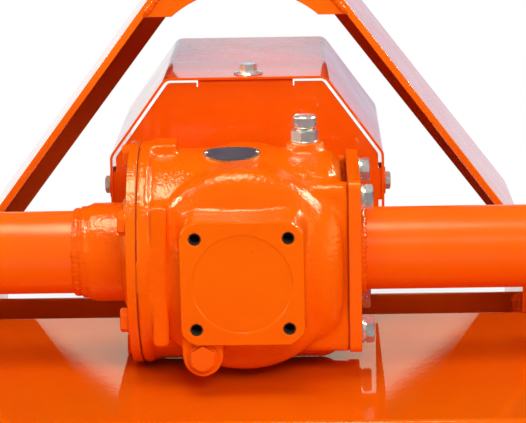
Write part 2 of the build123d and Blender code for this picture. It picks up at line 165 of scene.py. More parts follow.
def add(tree, kind, inputs=(), **settings):
    """A node with its settings and inputs; an input may be another node's socket."""
    node = tree.nodes.new("ShaderNode" + kind)
    for name, value in settings.items():
        setattr(node, name, value)
    for name, value in dict(inputs).items():
        feed(tree, node.inputs[name], value)
    return node


def emptied(block):
    """The cleared node tree of a new material or world."""
    block.use_nodes = True
    block.node_tree.nodes.clear()
    return block.node_tree


def maths(tree, kind, first, second=0.0, third=0.0, clamp=False):
    node = add(tree, "Math", {0: first, 1: second, 2: third}, operation=kind, use_clamp=clamp)
    return node.outputs[0]


def product(tree, first, *others):
    for other in others:
        first = maths(tree, "MULTIPLY", first, other)
    return first


def eased(tree, value, start, end, low=0.0, high=1.0, kind="LINEAR"):
    """Goes from low to high as the value goes from start to end."""
    node = add(tree, "MapRange", {"Value": value, "From Min": start, "From Max": end,
                                  "To Min": low, "To Max": high}, interpolation_type=kind)
    return node.outputs["Result"]


def ramp(tree, factor, stops):
    node = add(tree, "ValToRGB", {"Fac": factor})
    for element, (place, value) in zip(node.color_ramp.elements, stops):
        element.position = place
        element.color = (value, value, value, 1)
    return node.outputs["Color"]


def mixed(tree, factor, first, second):
    """Two colours mixed by the factor."""
    node = add(tree, "Mix", data_type="RGBA")
    for name, value in (("Factor", factor), ("A", first), ("B", second)):
        feed(tree, next(s for s in node.inputs if s.name == name and s.enabled), value)
    return next(s for s in node.outputs if s.enabled)


def blended(tree, factor, first, second):
    """Two shaders mixed by the factor."""
    return add(tree, "MixShader", {0: factor, 1: first, 2: second}).outputs[0]


def placed(tree):
    return add(tree, "TexCoord").outputs["Object"]


def drift(tree, scale, detail):
    """Noise that drifts over the piece."""
    node = add(tree, "TexNoise", {"Vector": placed(tree), "Scale": scale, "Detail": detail})
    return node.outputs["Fac"]


def bumped(tree, height, strength, distance):
    node = add(tree, "Bump", {"Height": height, "Strength": strength, "Distance": distance})
    return node.outputs["Normal"]


def uneven_paint(tree, given):
    """Two tones of one paint that drift over the surface, with faint specks."""
    patches = ramp(tree, drift(tree, given["Scale"], 4.0), [(0.34, 0), (0.68, 1)])
    tone = mixed(tree, patches, given["Paint"], given["Deep"])
    dots = ramp(tree, drift(tree, 260.0, 1.0), [(0.74, 0), (0.80, 1)])
    return mixed(tree, product(tree, dots, given["Specks"]), tone, (0.16, 0.03, 0.004, 1))


def orange_peel(tree, given):
    """Height of sprayed paint or of a sand casting under paint: fine dimples on soft swells."""
    fine = drift(tree, given["Dimples"], 2.0)
    return mixed(tree, given["Balance"], fine, drift(tree, given["Swells"], 2.0))


def patchy_gloss(tree, given):
    """A roughness or a weight that drifts between two values."""
    return eased(tree, drift(tree, given["Scale"], 5.0), 0.3, 0.7, given["Low"], given["High"])


def fine_grain(tree, given):
    """Height of a fine even grain."""
    return drift(tree, given["Scale"], 1.0)


EFFECTS = {      # maker, output, and the inputs with their defaults
    "Uneven paint": (uneven_paint, "Colour", {"Paint": (1, 1, 1, 1), "Deep": (1, 1, 1, 1),
                                              "Scale": 9.0, "Specks": 0.15}),
    "Orange peel": (orange_peel, "Height", {"Dimples": 420.0, "Swells": 90.0, "Balance": 0.5}),
    "Patchy gloss": (patchy_gloss, "Level", {"Scale": 12.0, "Low": 0.1, "High": 0.3}),
    "Fine grain": (fine_grain, "Height", {"Scale": 900.0}),
}
GROUPS = {}


def effect(name):
    """The node group of that name, made the first time it is asked for."""
    if name not in GROUPS:
        make, output, inputs = EFFECTS[name]
        tree = bpy.data.node_groups.new(name, "ShaderNodeTree")
        for label, default in inputs.items():
            kind = "NodeSocketColor" if isinstance(default, tuple) else "NodeSocketFloat"
            socket = tree.interface.new_socket(label, in_out="INPUT", socket_type=kind)
            socket.default_value = default
        kind = "NodeSocketColor" if output == "Colour" else "NodeSocketFloat"
        tree.interface.new_socket(output, in_out="OUTPUT", socket_type=kind)
        made = make(tree, tree.nodes.new("NodeGroupInput").outputs)
        tree.links.new(made, tree.nodes.new("NodeGroupOutput").inputs[output])
        GROUPS[name] = tree
    return GROUPS[name]


def use(tree, name, **inputs):
    """Places an effect in a material with that material's values."""
    node = tree.nodes.new("ShaderNodeGroup")
    node.node_tree = effect(name)
    for label, value in inputs.items():
        node.inputs[label].default_value = value
    return node.outputs[0]


# ---- materials --------------------------------------------------------------------------
def dressed(name, constants, paint, deep, tone_values, gloss_values):
    """A material with an uneven colour and a patchy gloss, its tree and its shader's sockets."""
    material = bpy.data.materials.new(name)
    tree = emptied(material)
    shader = add(tree, "BsdfPrincipled", constants)
    add(tree, "OutputMaterial", {"Surface": shader.outputs["BSDF"]})
    tone = use(tree, "Uneven paint", Paint=(*paint, 1), Deep=(*deep, 1), **tone_values)
    feed(tree, shader.inputs["Base Color"], tone)
    feed(tree, shader.inputs["Roughness"], use(tree, "Patchy gloss", **gloss_values))
    return material, tree, shader.inputs


def painted(name, paint, deep, peel, depth, coat, base=(0.0, 1.3), specks=0.1, faced=None):
    """Sprayed orange paint.  peel and depth give its dimples, coat the least weight, the
    roughness and the index of its clear top, base the gloss and index under it.  What lies
    behind faced, along Y, was machined before it was painted and is smooth."""
    least, coat_rough, coat_index = coat
    gloss, index = base
    material, tree, sockets = dressed(
        name, {"Coat Roughness": coat_rough, "Coat IOR": coat_index, "IOR": index,
               "Specular IOR Level": gloss}, paint, deep, {"Specks": specks},
        {"Low": 0.16, "High": 0.30})
    feed(tree, sockets["Coat Weight"], use(tree, "Patchy gloss", Low=1.0, High=least, Scale=30.0))
    dimples, swells, balance = peel
    height = use(tree, "Orange peel", Dimples=dimples, Swells=swells, Balance=balance)
    if faced is not None:
        along = add(tree, "SeparateXYZ", {0: placed(tree)}).outputs["Y"]
        cast_skin = eased(tree, along, faced + 1.8 * MM, faced + 4 * MM, 0.06)
        height = mixed(tree, cast_skin, (0.5, 0.5, 0.5, 1), height)
    for socket in ("Normal", "Coat Normal"):
        feed(tree, sockets[socket], bumped(tree, height, 1.0, depth))
    return material


def bare(name, constants, paint, deep, gloss, depth, scales, strength):
    """Two close tones, patchy gloss and a fine grain, with the scales of the three."""
    tone_scale, gloss_scale, grain_scale = scales
    material, tree, sockets = dressed(
        name, constants, paint, deep, {"Scale": tone_scale, "Specks": 0.0},
        {"Low": gloss[0], "High": gloss[1], "Scale": gloss_scale})
    grain = use(tree, "Fine grain", Scale=grain_scale)
    feed(tree, sockets["Normal"], bumped(tree, grain, strength, depth))
    return material


def metal(name, bright, dull, gloss, depth, grain=900.0, metallic=1.0):
    return bare(name, {"Metallic": metallic}, bright, dull, gloss, depth, (60.0, 140.0, grain),
                0.4)


def plain(name, first, second, gloss, depth):
    """Rubber, enamel and the like."""
    return bare(name, {"IOR": 1.3}, first, second, gloss, depth, (45.0, 80.0, 1400.0), 0.5)


def dimmed(tone, share):
    return tuple(share * value for value in tone)


FINISHES = {}


def finish(name):
    """The material of that name, made the first time it is asked for."""
    if name in FINISHES:
        return FINISHES[name]
    tones = colours()
    paint, deep, cast = tones.paint, tones.paint_deep, tones.cast
    sheet = ((300, 35, 0.75), 0.00006)
    clear, glossy, matt = (0.85, 0.04, 1.45), (0.06, 1.3), (0.0, 1.3)
    makers = {
        "sheet_paint": (painted, "Sheet paint", paint, deep, *sheet, clear, glossy),
        # the headstock plates' and arch's paint is a lighter, yellower copy of the sheet paint:
        # painted light
        "plate_paint": (painted, "Plate paint", (0.97, 0.165, 0.004), cast, *sheet, clear, glossy),
        # the cross bar's paint is a dimmed copy of the sheet paint: painted shade under the tubes
        "bar_paint": (painted, "Cross bar paint", dimmed(paint, 0.64), dimmed(deep, 0.52), *sheet,
                      (0.6, 0.08, 1.4)),
        # the lips' paint has dust specks and a brownish tone, and is darker than the sheet paint as
        # painted shade
        "lip_paint": (painted, "Dusty lip paint", (0.62, 0.088, 0.006), (0.46, 0.066, 0.008),
                      (300, 90, 0.5), 0.00012, (0.3, 0.2, 1.4), matt, 0.8),
        # the deck's paint is a dimmed copy of the cast orange: painted shade; its specks are scuffs
        "deck_paint": (painted, "Deck paint", dimmed(cast, 0.86), dimmed(paint, 0.86),
                       (330, 60, 0.5), 0.000022, (0.9, 0.02, 1.40), matt, 0.3),
        "tube_paint": (painted, "Tube paint", cast, paint, (300, 40, 0.6), 0.00010,
                       (0.45, 0.24, 1.4)),
        "cast_paint": (painted, "Cast paint", cast, paint, (330, 150, 0.4), 0.0012,
                       (0.9, 0.03, 1.5), matt, 0.14, PAD_FACE),
        "flat_cast_paint": (painted, "Faced casting paint", cast, paint, (520, 60, 0.4), 0.00004,
                            (0.7, 0.12, 1.4)),
        "bead_paint": (painted, "Weld paint", cast, deep, (700, 240, 0.5), 0.00035,
                       (0.7, 0.08, 1.45)),
        "zinc": (metal, "Zinc plate", tones.zinc, tones.zinc_dull, (0.15, 0.28), 0.000012, 900.0,
                 0.72),
        "steel": (metal, "Machined steel", tones.steel, tones.zinc_dull, (0.22, 0.38), 0.00004,
                  700.0),
        "rim": (metal, "Oval plate rim", tones.rim, tones.zinc_dull, (0.25, 0.36), 0.00002),
        "gasket": (plain, "Gasket", (0.60, 0.085, 0.004), (0.44, 0.056, 0.003), (0.5, 0.7),
                   0.00003),
        # the threads' steel is near black: painted shade down the holes
        "shaded_thread_steel": (plain, "Thread steel", (0.055, 0.035, 0.022), (0.025, 0.018, 0.014),
                       (0.35, 0.6), 0.00004),
        "field": (plain, "Oval plate field", tones.field, (0.07, 0.08, 0.11), (0.42, 0.55),
                  0.00002),
    }
    make, *values = makers[name]
    FINISHES[name] = make(*values)
    return FINISHES[name]


# ---- mesh helpers -----------------------------------------------------------------------
def meshed(name, bm):
    """A mesh made of a bmesh, which is then let go."""
    mesh = bpy.data.meshes.new(name)
    bm.to_mesh(mesh)
    bm.free()
    return mesh


def linked(name, data):
    """A new object in the scene."""
    made = bpy.data.objects.new(name, data)
    bpy.context.scene.collection.objects.link(made)
    return made


def shaded(mesh, sharp):
    """Smooth shading that breaks at the sharp edges."""
    mesh.shade_smooth()
    mesh.set_sharp_from_angle(angle=sharp)


def piece(name, bm, material, sharp=radians(32), nodes=()):
    """Turns a bmesh into a finished piece that rides on the frame."""
    mesh = meshed(name, bm)
    shaded(mesh, sharp)
    mesh.materials.append(finish(material))
    made = linked(name, mesh)
    made.modifiers.new("Even shading", "WEIGHTED_NORMAL").keep_sharp = True
    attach(made, "frame")
    if nodes:
        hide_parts(*nodes)
    return made


def cad_copy(node, flat=radians(0.4)):
    """A bmesh of a CAD node, with its loose triangles merged and its flats made whole."""
    bm = bmesh.new()
    bm.from_mesh(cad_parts[node].data)
    bmesh.ops.remove_doubles(bm, verts=bm.verts, dist=1e-5)
    if flat:
        bmesh.ops.dissolve_limit(bm, angle_limit=flat, verts=bm.verts, edges=bm.edges)
    return bm


def soften(bm, width, segments=2, angle=radians(40)):
    """Rounds the sharp edges."""
    sharp = [e for e in bm.edges if len(e.link_faces) == 2 and e.calc_face_angle() > angle]
    bmesh.ops.bevel(bm, geom=sharp, offset=width, offset_type="OFFSET", affect="EDGES",
                    segments=segments, profile=0.5, material=-1, clamp_overlap=True)


def verts_of(geom):
    return [g for g in geom if isinstance(g, bmesh.types.BMVert)]


def edges_between(geom, verts):
    """The edges among geom that have both ends among verts."""
    ends = set(verts)
    return [g for g in geom if isinstance(g, bmesh.types.BMEdge) and ends.issuperset(g.verts)]


def add_to(target, bm, matrix=Matrix()):
    """Turns a closed shape's faces outwards, puts it in its place and adds it to the target."""
    bmesh.ops.recalc_face_normals(bm, faces=bm.faces)
    bmesh.ops.transform(bm, matrix=matrix, verts=bm.verts)
    mesh = meshed("Shape", bm)
    target.from_mesh(mesh)
    bpy.data.meshes.remove(mesh)


def middle_of(node):
    low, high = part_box(node)
    return (low + high) / 2


def radius_of(node):
    low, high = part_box(node)
    return (high.z - low.z) / 2


def side_x(node, side, outer=True):
    """Where the node ends along X on that side of the machine, or else on the inward one."""
    low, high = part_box(node)
    return high.x if (side > 0) == outer else low.x


def frame_at(point, axis, across=None):
    """A matrix whose local +Z is the axis, standing at the point."""
    z = Vector(axis).normalized()
    x = Vector(across) if across else (Vector((0, 0, 1)) if abs(z.z) < 0.9 else Vector((0, 1, 0)))
    y = z.cross(x).normalized()
    x = y.cross(z)
    return Matrix.Translation(point) @ Matrix((x, y, z)).transposed().to_4x4()


def turned(target, matrix, profile, steps=48):
    """Spins a profile of (radius, height) pairs a full turn about the matrix's own Z."""
    bm = bmesh.new()
    verts = [bm.verts.new((radius, 0, height)) for radius, height in profile]
    runs = list(zip(verts, verts[1:]))
    if min(profile[0][0], profile[-1][0]) > 0:
        runs.append((verts[-1], verts[0]))
    edges = [bm.edges.new(pair) for pair in runs]
    bmesh.ops.spin(bm, geom=verts + edges, cent=(0, 0, 0), axis=(0, 0, 1), dvec=(0, 0, 0),
                   angle=2 * pi, steps=steps, use_merge=True, use_duplicate=False)
    bmesh.ops.remove_doubles(bm, verts=bm.verts, dist=1e-6)
    add_to(target, bm, matrix)


def hex_head(target, place, across, tall, lift=0.0):
    """A hexagon bolt head: six flats whose corners are turned off at the top."""
    bm = bmesh.new()
    flat = across / 2
    top = flat * 0.93
    bmesh.ops.create_circle(bm, cap_ends=True, segments=24, radius=top,
                            matrix=Matrix.Translation((0, 0, tall)))
    below = bmesh.ops.extrude_edge_only(bm, edges=bm.edges[:])["geom"]
    shoulder = verts_of(below)
    for v in shoulder:
        from_flat = (v.co.xy.angle_signed(Vector((1, 0))) % (pi / 3)) - pi / 6
        reach = flat / cos(from_flat)
        v.co.xy = v.co.xy.normalized() * reach
        v.co.z = tall - (reach - top) * tan(radians(30))
    lowest = bmesh.ops.extrude_edge_only(bm, edges=edges_between(below, shoulder))["geom"]
    foot = verts_of(lowest)
    for v in foot:
        v.co.z = 0
    bmesh.ops.edgeloop_fill(bm, edges=edges_between(lowest, foot))
    add_to(target, bm, place @ Matrix.Translation((0, 0, lift)))


def washer(target, place, radius, thick, hole=0.0):
    """A flat washer with its rim broken; without a hole, a disc."""
    edge = thick * 0.22
    turned(target, place, [(hole, 0), (radius - edge, 0), (radius, edge), (radius, thick - edge),
                           (radius - edge, thick), (hole, thick)], 36)


def pad_holes():
    """The places where the rear pad's four holes start, looking forward."""
    half = sizes().pad_hole_pitch / 2
    return [frame_at((x, PAD_FACE, z), (0, 1, 0)) for x in (-half, half) for z in (-half, half)]


# ---- weld beads -------------------------------------------------------------------------
def line_path(*points):
    """Points along straight runs, about one step apart."""
    path = [Vector(points[0])]
    for start, end in zip(points, points[1:]):
        start, end = Vector(start), Vector(end)
        count = max(2, ceil((end - start).length / sizes().bead_step))
        path += [start.lerp(end, k / count) for k in range(1, count + 1)]
    return path


def ring_path(centre, radius):
    """Points round an axis that runs crosswise, about one step apart."""
    place = frame_at(centre, CROSSWISE)
    count = max(12, ceil(radius * 2 * pi / sizes().bead_step))
    turns = [2 * pi * k / count for k in range(count)]
    return [place @ Vector((radius * cos(turn), radius * sin(turn), 0)) for turn in turns]


def bead(target, path, wide, tall, up, closed=False, seed=0.0, ripple=0.10):
    """A weld bead: an oval section carried along the path, rippling as it was laid.  wide and
    tall count in ordinary half widths.  up is the direction it faces, or a function that gives
    that direction at a point."""
    bm = bmesh.new()
    wide, tall = wide * sizes().bead, tall * sizes().bead
    fine, apart = 140, 7.1        # how quickly the roughness changes, along and between beads
    end, growth = 0.35, 0.3       # an open bead starts thin and grows ring by ring
    count = len(path)
    run = 0.0
    for k, point in enumerate(path):
        before = path[k - 1] if closed or k else path[0]
        after = path[(k + 1) % count] if closed or k < count - 1 else path[-1]
        along = (after - before).normalized()
        run += (point - path[k - 1]).length if k else 0
        away = up(point) if callable(up) else Vector(up)
        side = along.cross(away).normalized()
        away = side.cross(along)
        wave = sin(2 * pi * run / sizes().bead_pitch)
        rough = noise.noise(Vector((run * fine, seed * apart, 0.3)))
        swell = 1 + ripple * wave + 1.6 * ripple * rough
        if not closed:
            swell *= min(1, end + growth * min(k, count - 1 - k))
        turn = Matrix((side * wide * swell, away * tall * swell, along)).transposed().to_4x4()
        here = Matrix.Translation(point) @ turn
        if k == 0:
            bmesh.ops.create_circle(bm, cap_ends=False, segments=8, radius=1, matrix=here)
            first = edges = bm.edges[:]
        else:
            geom = bmesh.ops.extrude_edge_only(bm, edges=edges)["geom"]
            ring = verts_of(geom)
            edges = edges_between(geom, ring)
            bmesh.ops.transform(bm, matrix=here @ last.inverted(), verts=ring)
        last = here
    if closed:
        bmesh.ops.bridge_loops(bm, edges=first + edges)
    else:
        for loop in (first, edges):
            bmesh.ops.edgeloop_fill(bm, edges=loop)
    add_to(target, bm)


def arch_end(z):
    """Half width between the headstock plates' sloping faces at that height."""
    low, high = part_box("arch_plate")
    top = sizes().arch_top_half
    return top + (high.z - z) * (high.x - top) / (high.z - low.z)


def lip_rear(low, high, z):
    """Rear face of a headstock lip at that height."""
    return high.y - sizes().lip_thick - sizes().lip_lean * (z - low.z)


def away_from(centre):
    """Points away from the crosswise axis through the centre."""
    def direction(point):
        return Vector((0, point.y - centre.y, point.z - centre.z)).normalized()
    return direction


def weld_piece(name, bm):
    return piece(name, bm, "bead_paint", sharp=radians(60))


# ---- operators --------------------------------------------------------------------------
class ROTAVATOR_OT_sheet_and_plate(bpy.types.Operator):
    """Gives the cut plates and folded sheets their softened, painted edges"""
    bl_idname = "rotavator.sheet_and_plate"
    bl_label = "Sheet and plate"

    def execute(self, context):
        edge, thin = sizes().edge, sizes().sheet_edge
        for width, material, nodes in (
                (edge, "flat_cast_paint", "right_plate"),
                (edge, "sheet_paint", "side_plate_left side_plate_right"),
                # headstock plates: paint with painted light
                (edge, "plate_paint", "headstock_left headstock_right"),
                # lips: dust, and paint with painted shade
                (edge, "lip_paint", "headstock_lip_left headstock_lip_right"),
                # arch: paint with painted light
                (edge, "plate_paint", "arch_plate"),
                # cross bar: paint with painted shade
                (edge, "bar_paint", "front_bar"),
                (edge, "sheet_paint", "tube_bracket_left tube_bracket_right"),
                (thin, "sheet_paint", "end_disc"),
                # deck: paint with painted shade
                (thin, "deck_paint", "deck_sheet"),
                (thin, "sheet_paint", "guard_hood guard_end_panel")):
            for node in nodes.split():
                bm = cad_copy(node)
                soften(bm, width)
                piece(node + "_painted", bm, material, nodes=[node])
        return {"FINISHED"}


class ROTAVATOR_OT_casting(bpy.types.Operator):
    """Makes the gearbox housing a rough casting with filled corners and faced pads"""
    bl_idname = "rotavator.casting"
    bl_label = "Gearbox casting"

    def execute(self, context):
        rough = meshed("Rough casting", cad_copy("gearbox_housing", flat=0))
        block = linked("Rough casting", rough)
        cells = block.modifiers.new("Cells", "REMESH")
        cells.mode = "VOXEL"
        cells.voxel_size = sizes().casting_cell
        bm = bmesh.new()
        bm.from_mesh(self.evaluated(context, block))
        bpy.data.objects.remove(block)
        bpy.data.meshes.remove(rough)
        self.fill_corners(bm)
        self.roughen(bm)
        for v in bm.verts:
            if v.co.y < PAD_FACE + PAD_SKIN:
                v.co.y = PAD_FACE
        cast = piece("gearbox_casting", bm, "cast_paint", nodes=["gearbox_housing"])
        self.machine(context, cast)
        return {"FINISHED"}

    @staticmethod
    def evaluated(context, made):
        """The object's mesh with its modifiers applied."""
        context.view_layer.update()
        graph = context.evaluated_depsgraph_get()
        return bpy.data.meshes.new_from_object(made.evaluated_get(graph))

    def machine(self, context, cast):
        """Cuts the turned ring and the four holes in the pad, and the drain plug's seat."""
        tools = bmesh.new()
        clear = 5 * MM          # how far the cutters reach out of the pad
        ring = sizes().pad_ring
        mouth = ring + 0.9 * MM
        turned(tools, frame_at((0, PAD_FACE, 0), (0, 1, 0)),
               [(0, -clear), (mouth, -clear), (mouth, 0), (ring, 0.5 * MM),
                (ring - 0.6 * MM, PAD_STEP), (0, PAD_STEP)], 96)
        mouth = PAD_HOLE + 0.6 * MM
        deep = 24 * MM
        for place in pad_holes():
            turned(tools, place, [(0, -clear), (mouth, -clear), (mouth, 0), (PAD_HOLE, 0.7 * MM),
                                  (PAD_HOLE, deep), (0, deep)], 32)
        seat = middle_of("drain_plug")
        seat.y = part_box("drain_plug")[1].y
        reach = 8 * MM
        turned(tools, frame_at(seat, (0, -1, 0)),
               [(0, 0), (16.5 * MM, 0), (17 * MM, reach), (0, reach)])
        cutters = linked("Cutters", meshed("Cutters", tools))
        cut = cast.modifiers.new("Machining", "BOOLEAN")
        cut.operation, cut.solver, cut.object = "DIFFERENCE", "EXACT", cutters
        cast.modifiers.move(len(cast.modifiers) - 1, 0)
        done = self.evaluated(context, cast)
        cast.modifiers.remove(cut)
        bpy.data.objects.remove(cutters)
        shaded(done, radians(32))
        cast.data = done

    @staticmethod
    def fill_corners(bm):
        """Smooths along the inner corners, as sand moulds leave them, and a little all over."""
        def smooth(verts):
            bmesh.ops.smooth_vert(bm, verts=verts, factor=0.5, use_axis_x=True, use_axis_y=True,
                                  use_axis_z=True)

        smooth(bm.verts)
        inner = {v for e in bm.edges if len(e.link_faces) == 2 and not e.is_convex
                 and e.calc_face_angle() > radians(11) for v in e.verts}
        for _ in range(3):
            inner |= {e.other_vert(v) for v in inner for e in v.link_edges}
        for _ in range(14):
            smooth(list(inner))
        smooth(bm.verts)

    @staticmethod
    def roughen(bm):
        """Low swells all over the cast skin."""
        bm.normal_update()
        shifts = []
        for v in bm.verts:
            swell = sum(share * noise.noise(v.co * fine)
                        for share, fine in ((1, 70), (0.6, 190), (0.45, 330)))
            shifts.append(v.normal * swell * sizes().casting_lumps)
        for v, shift in zip(bm.verts, shifts):
            v.co += shift


class ROTAVATOR_OT_left_cover(bpy.types.Operator):
    """Left cover with its trumpet, six painted bolts and the gasket in the joint"""
    bl_idname = "rotavator.left_cover"
    bl_label = "Left cover"

    def execute(self, context):
        bm = cad_copy("left_cover")
        soften(bm, 0.9 * MM, 3, radians(25))
        piece("left_cover_cast", bm, "cast_paint", nodes=["left_cover"])
        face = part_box("cover_bolts")[1].x
        size = sizes().cover_bolt
        heads = bmesh.new()
        for k in range(BOLTS_IN_COVER):
            turn = 2 * pi * k / BOLTS_IN_COVER
            out = Vector((0, -sin(turn), cos(turn)))
            place = frame_at(Vector((face, CROSS.y, 0)) + out * BOLT_RING, (-1, 0, 0), out)
            hex_head(heads, place, size, size * 0.40)
            washer(heads, place, size * 0.60, 1.4 * MM)
        piece("cover_bolt_heads", heads, "flat_cast_paint", nodes=["cover_bolts"])
        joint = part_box("left_cover")[1]
        inner, outer, half = joint.z - 6 * MM, joint.z - 0.15 * MM, 0.5 * MM
        seal = bmesh.new()
        turned(seal, frame_at((joint.x, CROSS.y, 0), (-1, 0, 0)),
               [(inner, -half), (outer, -half), (outer, half), (inner, half)], 96)
        piece("left_gasket", seal, "gasket")
        return {"FINISHED"}


class ROTAVATOR_OT_right_cover(bpy.types.Operator):
    """Gasket and zinc bolts with washers on the square right cover"""
    bl_idname = "rotavator.right_cover"
    bl_label = "Right cover bolts"

    def execute(self, context):
        low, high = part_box("plate_bolts")
        plate_low, plate_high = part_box("right_plate")
        reach, size, thick = sizes().plate_bolt_washer, sizes().plate_bolt, sizes().washer
        bm = bmesh.new()
        near, far = (low.y + reach, low.z + reach), (high.y - reach, high.z - reach)
        for y, z, turn in ((near[0], near[1], 0.30), (near[0], far[1], 0.52),
                           (far[0], near[1], 0.10), (far[0], far[1], 0.0)):
            place = frame_at((plate_high.x, y, z), (1, 0, 0), (0, cos(turn), sin(turn)))
            washer(bm, place, reach, thick, BOLT_BORE)
            top = thick + SPRING
            turned(bm, place, [(BOLT_BORE, thick), (size / 2, thick), (size / 2, top),
                               (BOLT_BORE, top)], 32)
            hex_head(bm, place, size, size * 0.36, top)
        piece("plate_bolt_heads", bm, "zinc", nodes=["plate_bolts"])
        gasket = bmesh.new()
        bmesh.ops.create_cube(gasket, size=1)
        wide = plate_high.y - plate_low.y - 9 * MM
        tall = plate_high.z - plate_low.z - 1.5 * MM
        middle = middle_of("right_plate")
        bmesh.ops.scale(gasket, vec=(1.0 * MM, wide, tall), verts=gasket.verts)
        bmesh.ops.translate(gasket, vec=(plate_low.x - 0.3 * MM, middle.y, middle.z),
                            verts=gasket.verts)
        crosswise = [e for e in gasket.edges
                     if abs(e.verts[0].co.x - e.verts[1].co.x) > 0.5 * MM]
        bmesh.ops.bevel(gasket, geom=crosswise, offset=9 * MM, affect="EDGES", segments=5,
                        profile=0.5, material=-1)
        piece("right_gasket", gasket, "gasket")
        return {"FINISHED"}


class ROTAVATOR_OT_plug_and_breather(bpy.types.Operator):
    """Painted drain plug and zinc breather with its round cap"""
    bl_idname = "rotavator.plug_and_breather"
    bl_label = "Drain plug and breather"

    def execute(self, context):
        low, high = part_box("drain_plug")
        middle = middle_of("drain_plug")
        bm = bmesh.new()
        place = frame_at((middle.x, high.y, middle.z), (0, -1, 0), (0, 0, 1))
        washer(bm, place, sizes().drain_plug * 0.62, 1.6 * MM)
        hex_head(bm, place, sizes().drain_plug, high.y - low.y)
        piece("drain_plug_head", bm, "flat_cast_paint", nodes=["drain_plug"])
        low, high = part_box("breather")
        middle = middle_of("breather")
        tall = high.z - low.z
        bm = bmesh.new()
        turn = radians(15)
        foot = frame_at((middle.x, middle.y, low.z), (0, 0, 1), (cos(turn), sin(turn), 0))
        across = sizes().breather
        washer(bm, foot, across * 0.56, 1.5 * MM)
        hex_head(bm, foot, across, tall * 0.41, 1.2 * MM)
        cap = across * 0.496
        turned(bm, foot, [(cap * wide, tall * high) for wide, high in (
            (0, 0.34), (0.70, 0.34), (0.70, 0.55), (0.95, 0.55), (1, 0.575), (1, 0.90),
            (0.97, 0.93), (0.86, 0.965), (0.84, 0.955), (0.55, 0.99), (0, 1))], 56)
        piece("breather_metal", bm, "zinc", nodes=["breather"])
        return {"FINISHED"}


class ROTAVATOR_OT_oval_plate(bpy.types.Operator):
    """Blank oval plate riveted to the top of the barrel"""
    bl_idname = "rotavator.oval_plate"
    bl_label = "Oval plate"

    def execute(self, context):
        lean = radians(-sizes().plate_lean)
        barrel = sizes().barrel
        centre = CROSS + Vector((-12 * MM, 0, -2.5 * MM))
        up = Vector((0, sin(lean), cos(lean)))
        half, half_deep = sizes().plate_wide / 2, sizes().plate_deep / 2
        thick = 1.8 * MM
        for name, share, lift, material, slot in (
                ("oval_plate_rim", 1.0, thick, "rim", "zinc"),
                ("oval_plate_field", 0.90, thick + 0.25 * MM, "field", "steel")):
            bm = bmesh.new()
            bmesh.ops.create_circle(bm, cap_ends=True, segments=64, radius=1)
            for _ in range(5):
                middle = min(bm.faces, key=lambda f: f.calc_center_median().length)
                bmesh.ops.inset_region(bm, faces=[middle], thickness=1 / 6,
                                       use_even_offset=True)
            border = (1 - share) * half
            bmesh.ops.scale(bm, vec=(half - border, half_deep - border, 1), verts=bm.verts)
            side = bmesh.ops.extrude_face_region(bm, geom=list(bm.faces),
                                                 use_keep_orig=True)["geom"]
            bmesh.ops.translate(bm, vec=(0, 0, -lift - 0.4 * MM), verts=verts_of(side))
            bmesh.ops.recalc_face_normals(bm, faces=bm.faces)
            for v in bm.verts:
                turn = v.co.y / barrel
                high = barrel + lift + v.co.z
                v.co.y, v.co.z = high * sin(turn), high * cos(turn)
            bmesh.ops.transform(bm, matrix=frame_at(centre, up, CROSSWISE), verts=bm.verts)
            piece(name, bm, material, sharp=radians(50))
        rivets = bmesh.new()
        profile = [(radius * MM, height * MM) for radius, height in (
            (0, -1), (1.9, -1), (1.9, 0.3), (1.4, 0.9), (0.7, 1.2), (0, 1.3))]
        for side in (-1, 1):
            beside = Vector((side * (half - 3.6 * MM), 0, 0))
            place = frame_at(centre + up * (barrel + thick) + beside, up, CROSSWISE)
            turned(rivets, place, profile, 20)
        piece("oval_plate_rivets", rivets, "zinc")
        return {"FINISHED"}


class ROTAVATOR_OT_guard_fittings(bpy.types.Operator):
    """Bolts and washers that hold the shaft guard to its end panel and the gearbox"""
    bl_idname = "rotavator.guard_fittings"
    bl_label = "Guard fittings"

    def execute(self, context):
        low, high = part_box("guard_hood")
        row = low.y + GUARD_ROW
        zinc, painted_washers = bmesh.new(), bmesh.new()
        head = sizes().guard_bolt
        inward = 6 * MM             # from the hood's face to the nuts inside it
        for side, x in ((-1, low.x), (1, high.x)):
            outer = frame_at((x, row, GUARD_BOLT_Z), (side, 0, 0), (0, 0.3, 1))
            washer(painted_washers, outer, head * 0.90, 1.8 * MM)
            hex_head(zinc, outer, head, head * 0.34, 1.8 * MM)
            inner = frame_at((x - side * inward, row, GUARD_BOLT_Z), (-side, 0, 0), (0, 0.5, 1))
            washer(zinc, inner, head * 0.68, 1.4 * MM, 4 * MM)
            hex_head(zinc, inner, head, head * 0.46, 1.4 * MM)
        top = frame_at((GUARD_TOP_X, row, high.z), (0, 0, 1), (cos(0.2), sin(0.2), 0))
        turned(zinc, top, [(0, 0), (head * 0.92, 0), (head * 0.95, 0.8 * MM),
                           (head * 0.90, 1.8 * MM), (head * 0.56, 3.4 * MM), (0, 3.4 * MM)], 44)
        hex_head(zinc, top, head, head * 0.50, 2.6 * MM)
        under = frame_at((GUARD_TOP_X, row, high.z - inward), (0, 0, -1))
        hex_head(zinc, under, head, head * 0.46)
        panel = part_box("bearing_cap")[1].y + PANEL_THICK
        for k in range(4):
            turn = pi / 4 + k * pi / 2
            place = frame_at((PANEL_RING * cos(turn), panel, PANEL_RING * sin(turn)), (0, 1, 0),
                             (cos(0.4 * k), 0, sin(0.4 * k)))
            washer(zinc, place, head * 0.66, 1.6 * MM, 4 * MM)
            hex_head(zinc, place, head * 0.95, head * 0.40, 1.6 * MM)
        piece("guard_bolts", zinc, "zinc")
        piece("guard_washers", painted_washers, "flat_cast_paint")
        return {"FINISHED"}


